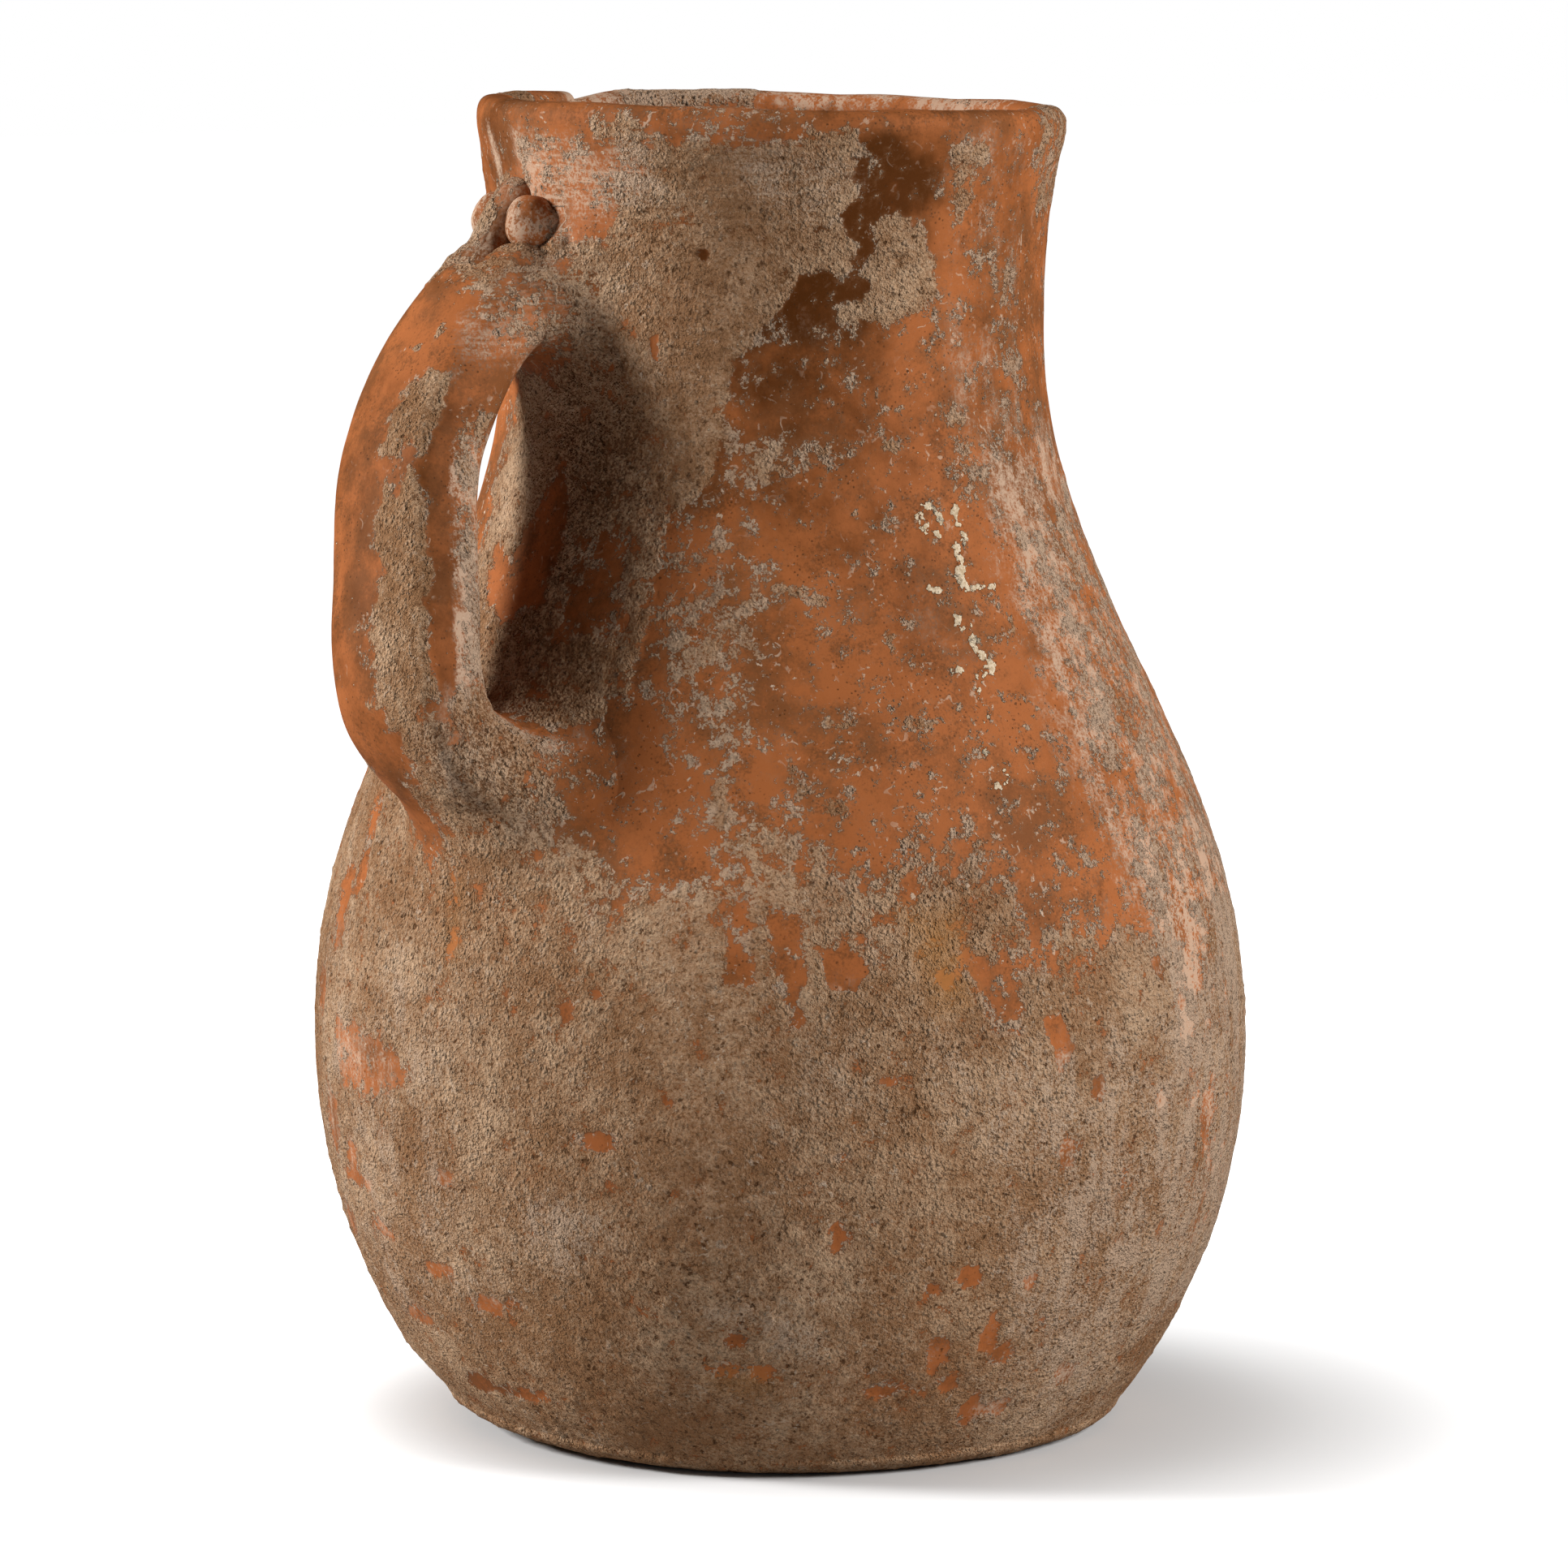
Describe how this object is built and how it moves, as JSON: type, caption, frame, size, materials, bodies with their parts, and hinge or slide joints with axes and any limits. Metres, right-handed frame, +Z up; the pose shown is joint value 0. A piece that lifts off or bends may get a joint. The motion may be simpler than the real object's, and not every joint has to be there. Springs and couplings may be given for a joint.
{
  "type": "terracotta jug",
  "caption": "Hand-built terracotta jug with a round belly, a wide neck, a thick loop handle dressed with a spur and pellets, and a burial crust; holds and pours liquid.",
  "frame": {"origin": "centre of the flat underside of the base, on the floor", "axes": "+Z up along the vessel, -X out through the middle of the handle's grip"},
  "size_m": [0.1955, 0.1839, 0.26],
  "materials": {
    "terracotta": "coarse orange-brown fired clay, wiped smooth, matt, with dark grit and pale haze",
    "crusted_terracotta": "the same clay under a patchy beige crust of earth and lime, matt and granular"
  },
  "bodies": {
    "root": {"base_disc": "crusted_terracotta", "foot_course": "crusted_terracotta", "lower_belly_course": "crusted_terracotta", "upper_belly_course": "crusted_terracotta", "lower_shoulder_course": "crusted_terracotta", "upper_shoulder_course": "crusted_terracotta", "lower_neck_course": "crusted_terracotta", "upper_neck_course": "crusted_terracotta", "lower_luting": "crusted_terracotta", "rim_coil": "terracotta", "handle_roll": "terracotta", "upper_luting": "terracotta", "handle_spur": "terracotta", "left_pellet": "terracotta", "right_pellet": "terracotta"}
  },
  "joints": []
}
